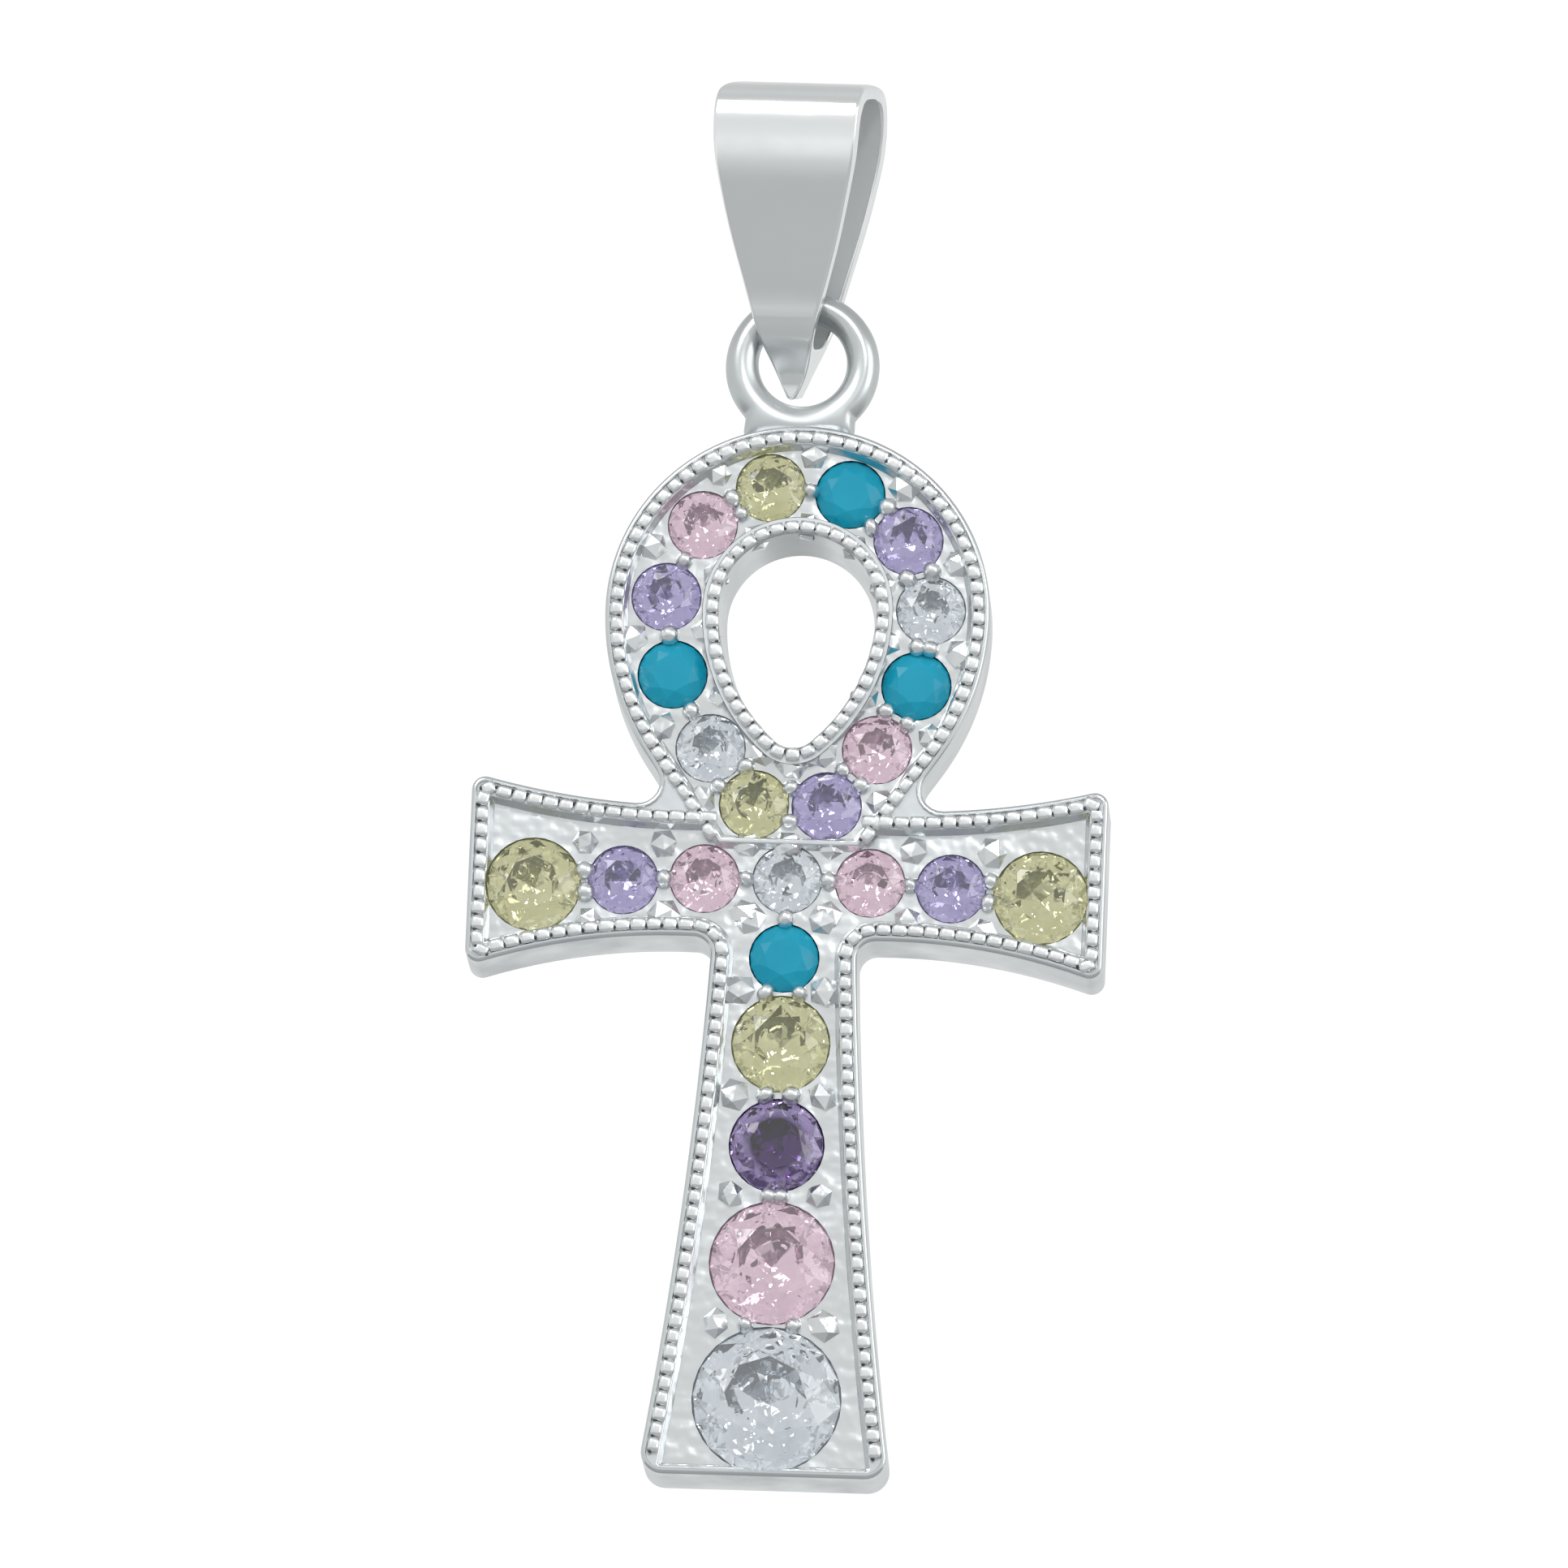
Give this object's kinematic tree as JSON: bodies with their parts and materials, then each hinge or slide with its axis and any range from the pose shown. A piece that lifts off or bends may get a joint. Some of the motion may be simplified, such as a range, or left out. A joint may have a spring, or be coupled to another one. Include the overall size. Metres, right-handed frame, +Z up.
{
  "type": "ankh pendant",
  "caption": "Silver ankh pendant with a teardrop loop, flared arms and stem, a channel of round cut stones in pastel colours and turquoise, a soldered ring and a tapered bail.",
  "frame": {"origin": "the chain's seat: the middle of the inside of the bail's crest", "axes": "+Z up with the ankh hanging down, -Y the front with the stones, +X to the right seen from the front"},
  "size_m": [0.019, 0.0055, 0.0428],
  "materials": {
    "silver": "polished cast silver",
    "bail_silver": "polished silver strap",
    "stone_clear": "clear, cut and polished",
    "stone_yellow": "pale yellow, cut and polished",
    "stone_pink": "pale pink, cut and polished",
    "stone_violet": "violet, cut and polished",
    "stone_dark_violet": "dark violet, cut and polished",
    "stone_turquoise": "opaque turquoise, cut and polished"
  },
  "bodies": {
    "bail": {"bail": "bail_silver"},
    "ankh": {"ankh_frame": "silver", "stone_loop_1": "stone_yellow", "stone_loop_2": "stone_turquoise", "stone_loop_3": "stone_violet", "stone_loop_4": "stone_clear", "stone_loop_5": "stone_turquoise", "stone_loop_6": "stone_pink", "stone_loop_7": "stone_clear", "stone_loop_8": "stone_turquoise", "stone_loop_9": "stone_violet", "stone_loop_10": "stone_pink", "stone_loop_11": "stone_violet", "stone_loop_12": "stone_yellow", "stone_arm_1": "stone_yellow", "stone_arm_2": "stone_violet", "stone_arm_3": "stone_pink", "stone_arm_4": "stone_clear", "stone_arm_5": "stone_pink", "stone_arm_6": "stone_violet", "stone_arm_7": "stone_yellow", "stone_stem_1": "stone_turquoise", "stone_stem_2": "stone_yellow", "stone_stem_3": "stone_dark_violet", "stone_stem_4": "stone_pink", "stone_stem_5": "stone_clear"}
  },
  "joints": [
    {"name": "ankh_swing", "type": "hinge", "parent": "bail", "child": "ankh", "pos_m": [0.00002, 0.00182, -0.00624], "axis": [1, 0, 0], "range_deg": [-20, 90]}
  ]
}
